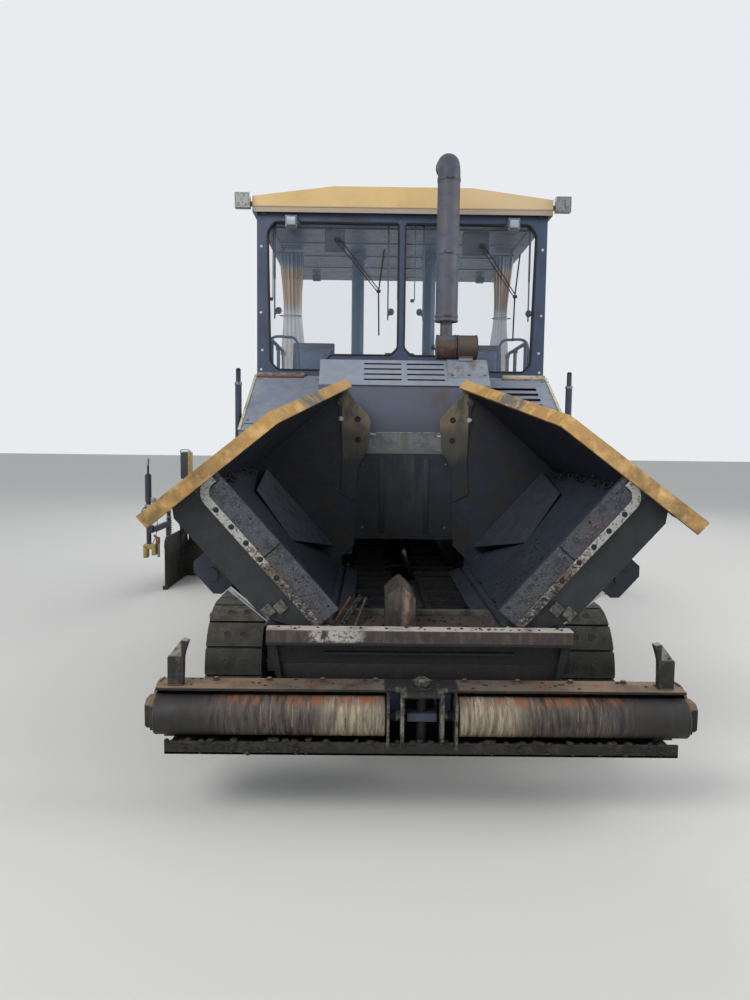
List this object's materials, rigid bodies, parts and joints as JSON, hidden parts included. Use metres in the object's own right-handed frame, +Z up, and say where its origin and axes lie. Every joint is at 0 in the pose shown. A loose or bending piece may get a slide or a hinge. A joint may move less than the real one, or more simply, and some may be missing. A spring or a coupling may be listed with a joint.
{
  "type": "tracked asphalt paver",
  "caption": "Tracked road paver: folding receiving hopper with push rollers, roofed platform, augers and a sliding screed towed behind.",
  "frame": {"origin": "on the ground, under the middle of the machine's overall box", "axes": "+Z up; the push rollers and hopper at the front face -Y; +X is the right of the picture, the machine's left-hand side"},
  "size_m": [5.324, 6.38, 3.894],
  "materials": {
    "navy_paint": "worn dark blue-grey paint",
    "lavender_paint": "satin grey-violet paint",
    "gold_paint": "chipped golden yellow paint",
    "worn_steel": "worn rusty steel",
    "black_steel": "asphalt-stained black steel",
    "track_steel": "dusty track shoes",
    "roller_steel": "worn tan and rust",
    "exhaust_steel": "heat-browned steel",
    "rod_chrome": "polished",
    "dark_plastic": "matte",
    "seat_vinyl": "blue-grey vinyl",
    "window_glass": "clear",
    "lamp_glass": "clear lens in a grey case",
    "curtain_sheet": "yellowed sheet"
  },
  "bodies": {
    "chassis": {"chassis": "navy_paint", "track_frame_left": "navy_paint", "track_frame_right": "navy_paint", "track_left": "track_steel", "track_right": "track_steel", "hopper": "navy_paint", "conveyors": "worn_steel", "bonnet": "lavender_paint", "hood_sides": "lavender_paint", "engine_block": "black_steel", "platform": "navy_paint", "console": "dark_plastic", "seat_left": "seat_vinyl", "seat_right": "seat_vinyl", "windshield_frame": "navy_paint", "windshield_glass": "window_glass", "roof": "gold_paint", "roof_columns": "navy_paint", "lamps": "lamp_glass", "curtains": "curtain_sheet"},
    "push_beam": {"push_beam": "black_steel"},
    "push_roller_left": {"push_roller_left": "roller_steel"},
    "push_roller_right": {"push_roller_right": "roller_steel"},
    "exhaust_stack": {"exhaust_stack": "exhaust_steel"},
    "side_door_left": {"side_door_left": "gold_paint"},
    "side_door_right": {"side_door_right": "gold_paint"},
    "wing_left": {"wing_left": "navy_paint"},
    "wing_right": {"wing_right": "navy_paint"},
    "wing_barrel_left": {"wing_barrel_left": "navy_paint"},
    "wing_barrel_right": {"wing_barrel_right": "navy_paint"},
    "wing_rod_left": {"wing_rod_left": "rod_chrome"},
    "wing_rod_right": {"wing_rod_right": "rod_chrome"},
    "screed": {"tow_arms": "navy_paint", "screed": "black_steel"},
    "extension_left": {"screed_ext_left": "black_steel", "end_gate_left": "black_steel", "grade_sensor": "dark_plastic"},
    "extension_right": {"screed_ext_right": "black_steel", "end_gate_right": "black_steel"},
    "auger_left": {"auger_left": "worn_steel"},
    "auger_right": {"auger_right": "worn_steel"},
    "lift_barrel_left": {"lift_barrel_left": "gold_paint"},
    "lift_barrel_right": {"lift_barrel_right": "gold_paint"},
    "lift_rod_left": {"lift_rod_left": "rod_chrome"},
    "lift_rod_right": {"lift_rod_right": "rod_chrome"}
  },
  "joints": [
    {"name": "beam_swing", "type": "hinge", "parent": "chassis", "child": "push_beam", "pos_m": [0, -3.1, 0.488], "axis": [0, 0, 1], "range_deg": [-4, 4]},
    {"name": "roller_left_spin", "type": "hinge", "parent": "push_beam", "child": "push_roller_left", "pos_m": [-0.69, -3.1, 0.478], "axis": [1, 0, 0], "continuous": true},
    {"name": "roller_right_spin", "type": "hinge", "parent": "push_beam", "child": "push_roller_right", "pos_m": [0.69, -3.1, 0.478], "axis": [1, 0, 0], "continuous": true},
    {"name": "exhaust_fold", "type": "hinge", "parent": "chassis", "child": "exhaust_stack", "pos_m": [0.32, -0.7, 2.44], "axis": [1, 0, 0], "range_deg": [0, 90]},
    {"name": "side_door_left_swing", "type": "hinge", "parent": "chassis", "child": "side_door_left", "pos_m": [-1.212, -0.644, 1.265], "axis": [0, 0, 1], "range_deg": [0, 95]},
    {"name": "side_door_right_swing", "type": "hinge", "parent": "chassis", "child": "side_door_right", "pos_m": [1.212, -0.644, 1.265], "axis": [0, 0, -1], "range_deg": [0, 95]},
    {"name": "wing_left_fold", "type": "hinge", "parent": "chassis", "child": "wing_left", "pos_m": [-0.45, -2, 0.8], "axis": [0, 1, 0], "range_deg": [-48.3, 13.5]},
    {"name": "wing_cylinder_left_swing", "type": "hinge", "parent": "chassis", "child": "wing_barrel_left", "pos_m": [-0.3, -2.6, 0.42], "axis": [0, 1, 0], "range_deg": [-32.97, 9.57]},
    {"name": "wing_cylinder_left_stroke", "type": "slide", "parent": "wing_barrel_left", "child": "wing_rod_left", "axis": [-0.7717, 0, 0.636], "range_m": [-0.2333, 0.0681]},
    {"name": "wing_right_fold", "type": "hinge", "parent": "chassis", "child": "wing_right", "pos_m": [0.45, -2, 0.8], "axis": [0, -1, 0], "range_deg": [-48.3, 13.5]},
    {"name": "wing_cylinder_right_swing", "type": "hinge", "parent": "chassis", "child": "wing_barrel_right", "pos_m": [0.3, -2.6, 0.42], "axis": [0, -1, 0], "range_deg": [-32.97, 9.57]},
    {"name": "wing_cylinder_right_stroke", "type": "slide", "parent": "wing_barrel_right", "child": "wing_rod_right", "axis": [0.7717, 0, 0.636], "range_m": [-0.2333, 0.0681]},
    {"name": "screed_lift", "type": "hinge", "parent": "chassis", "child": "screed", "pos_m": [0, -0.95, 0.46], "axis": [1, 0, 0], "range_deg": [0, 9]},
    {"name": "extension_left_slide", "type": "slide", "parent": "screed", "child": "extension_left", "axis": [1, 0, 0], "range_m": [0, 1.24]},
    {"name": "extension_right_slide", "type": "slide", "parent": "screed", "child": "extension_right", "axis": [-1, 0, 0], "range_m": [0, 1.24]},
    {"name": "auger_left_spin", "type": "hinge", "parent": "chassis", "child": "auger_left", "pos_m": [-0.64, 1.615, 0.405], "axis": [1, 0, 0], "continuous": true},
    {"name": "auger_right_spin", "type": "hinge", "parent": "chassis", "child": "auger_right", "pos_m": [0.64, 1.615, 0.405], "axis": [1, 0, 0], "continuous": true},
    {"name": "lift_cylinder_left_swing", "type": "hinge", "parent": "chassis", "child": "lift_barrel_left", "pos_m": [-0.9, 1.4, 1.45], "axis": [1, 0, 0], "range_deg": [-0.5, 27.23]},
    {"name": "lift_cylinder_left_stroke", "type": "slide", "parent": "lift_barrel_left", "child": "lift_rod_left", "axis": [0, 0.7071, -0.7071], "range_m": [-0.3336, 0.004]},
    {"name": "lift_cylinder_right_swing", "type": "hinge", "parent": "chassis", "child": "lift_barrel_right", "pos_m": [0.9, 1.4, 1.45], "axis": [1, 0, 0], "range_deg": [-0.5, 27.23]},
    {"name": "lift_cylinder_right_stroke", "type": "slide", "parent": "lift_barrel_right", "child": "lift_rod_right", "axis": [0, 0.7071, -0.7071], "range_m": [-0.3336, 0.004]}
  ],
  "couplings": [
    {"joint": "wing_cylinder_left_swing", "follows": "wing_left_fold", "ratio": 0.6722},
    {"joint": "wing_cylinder_left_stroke", "follows": "wing_left_fold", "m_per_rad": 0.272},
    {"joint": "lift_cylinder_left_swing", "follows": "screed_lift", "ratio": 2.9695},
    {"joint": "lift_cylinder_left_stroke", "follows": "screed_lift", "m_per_rad": -2.0985},
    {"joint": "wing_cylinder_right_swing", "follows": "wing_right_fold", "ratio": 0.6722},
    {"joint": "wing_cylinder_right_stroke", "follows": "wing_right_fold", "m_per_rad": 0.272},
    {"joint": "lift_cylinder_right_swing", "follows": "screed_lift", "ratio": 2.9695},
    {"joint": "lift_cylinder_right_stroke", "follows": "screed_lift", "m_per_rad": -2.0985}
  ]
}
